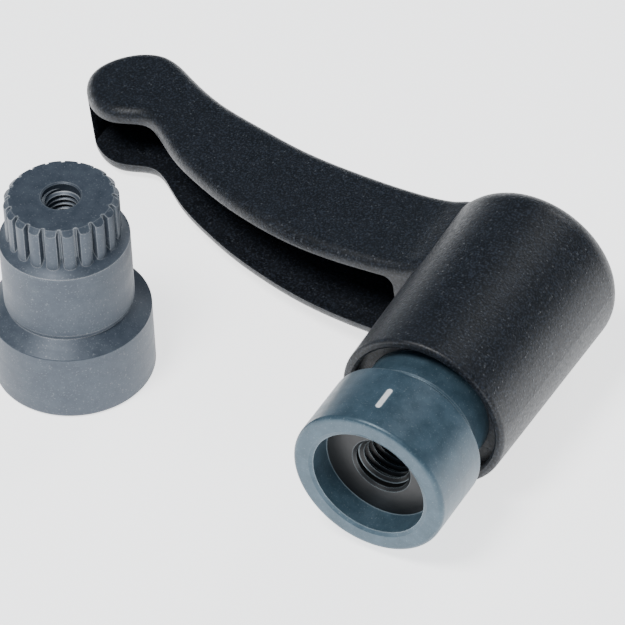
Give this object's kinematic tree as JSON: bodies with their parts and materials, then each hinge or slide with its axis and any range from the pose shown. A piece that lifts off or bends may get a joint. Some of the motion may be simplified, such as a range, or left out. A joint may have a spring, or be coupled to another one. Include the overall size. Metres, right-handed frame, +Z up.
{
  "type": "indexable clamping lever",
  "caption": "Black cast clamping lever that lifts and turns on a splined, threaded steel insert, with a loose insert of the same kind beside it.",
  "frame": {"origin": "centre of the fitted insert's seat face, on the stud thread's axis", "axes": "+Y along the hub's axis away from the collar, -X towards the arm's tip, +Z up from the surface the lever lies on"},
  "size_m": [0.1355, 0.0991, 0.0464],
  "materials": {
    "powder_coat": "fine-textured satin black powder coat on a zinc casting",
    "black_oxide": "satin blue-black oxide on turned steel",
    "phosphate": "grey-blue phosphated turned steel",
    "white_paint": "white paint in an engraved line",
    "screw_steel": "black oxide screw steel",
    "washer_steel": "zinc-plated washer",
    "spring_steel": "drawn spring wire"
  },
  "bodies": {
    "insert": {"splined_insert": "black_oxide", "index_mark": "white_paint", "retaining_screw": "screw_steel"},
    "spring_pack": {"thrust_washer": "washer_steel", "return_spring": "spring_steel"},
    "lever": {"lever_handle": "powder_coat"},
    "spare": {"spare_insert": "phosphate"}
  },
  "joints": [
    {"name": "lever_index", "type": "hinge", "parent": "insert", "child": "spring_pack", "pos_m": [0, 0.0632, 0], "axis": [0, 1, 0], "continuous": true},
    {"name": "lever_lift", "type": "slide", "parent": "spring_pack", "child": "lever", "axis": [0, 1, 0], "range_m": [-0.0068, 0], "stiffness_N_per_m": 1500, "springref_m": -0.0103, "deforming": ["return_spring"]},
    {"name": "spare_lift", "type": "slide", "parent": "insert", "child": "spare", "axis": [0, 0, 1], "range_m": [0, 0.06]}
  ]
}
